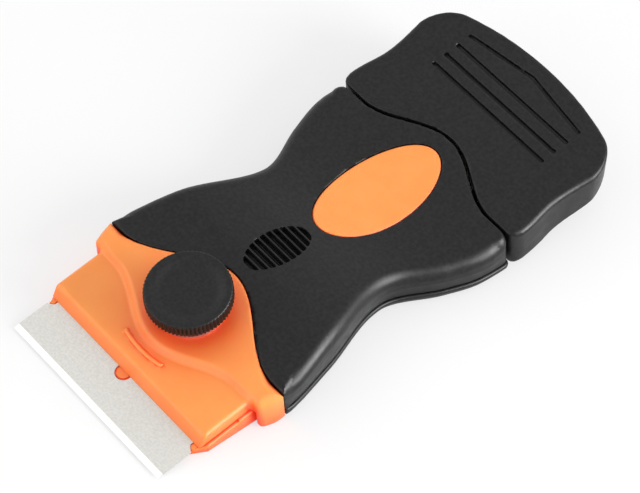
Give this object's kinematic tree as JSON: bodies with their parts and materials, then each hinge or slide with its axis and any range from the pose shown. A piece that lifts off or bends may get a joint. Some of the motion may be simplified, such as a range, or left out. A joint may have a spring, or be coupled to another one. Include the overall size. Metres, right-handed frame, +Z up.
{
  "type": "razor blade scraper",
  "caption": "Hand scraper with a knob-clamped razor blade, a waisted split-shell handle with grip slots, and a pull-off rear cap that draws out a tray of spare blades.",
  "frame": {"origin": "on the resting face, under the middle of the overall box", "axes": "+Y from the cutting edge towards the rear cap, +Z up from the resting face, +X to the right seen from the cap"},
  "size_m": [0.0464, 0.1057, 0.0166],
  "materials": {
    "black_plastic": "fine satin moulding",
    "orange_plastic": "smooth moulding",
    "knob_plastic": "matt top and knurled rim",
    "blade_steel": "satin face with a bright ground bevel",
    "fastener_steel": "zinc plated"
  },
  "bodies": {
    "handle": {"upper_shell": "black_plastic", "lower_shell": "black_plastic", "oval_inlay": "orange_plastic", "lower_jaw": "orange_plastic", "blade": "blade_steel", "clamp_nut": "fastener_steel", "shell_screws": "fastener_steel"},
    "clamp": {"upper_jaw": "orange_plastic", "knob_washer": "fastener_steel"},
    "knob": {"clamp_knob": "knob_plastic", "clamp_screw": "fastener_steel"},
    "cap": {"rear_cap": "black_plastic", "blade_tray": "black_plastic", "spare_blade_1": "blade_steel", "spare_blade_2": "blade_steel", "spare_blade_3": "blade_steel", "spare_blade_4": "blade_steel", "spare_blade_5": "blade_steel"}
  },
  "joints": [
    {"name": "jaw_lift", "type": "slide", "parent": "handle", "child": "clamp", "axis": [0, -0.1908, 0.9816], "range_m": [0, 0.0014]},
    {"name": "knob_turn", "type": "hinge", "parent": "clamp", "child": "knob", "pos_m": [0, -0.02949, 0.00504], "axis": [0, -0.1908, 0.9816], "range_deg": [0, 720]},
    {"name": "cap_pull", "type": "slide", "parent": "handle", "child": "cap", "axis": [0, 1, 0], "range_m": [0, 0.045]}
  ],
  "couplings": [
    {"joint": "knob_turn", "follows": "jaw_lift", "rad_per_m": 8975.9}
  ]
}
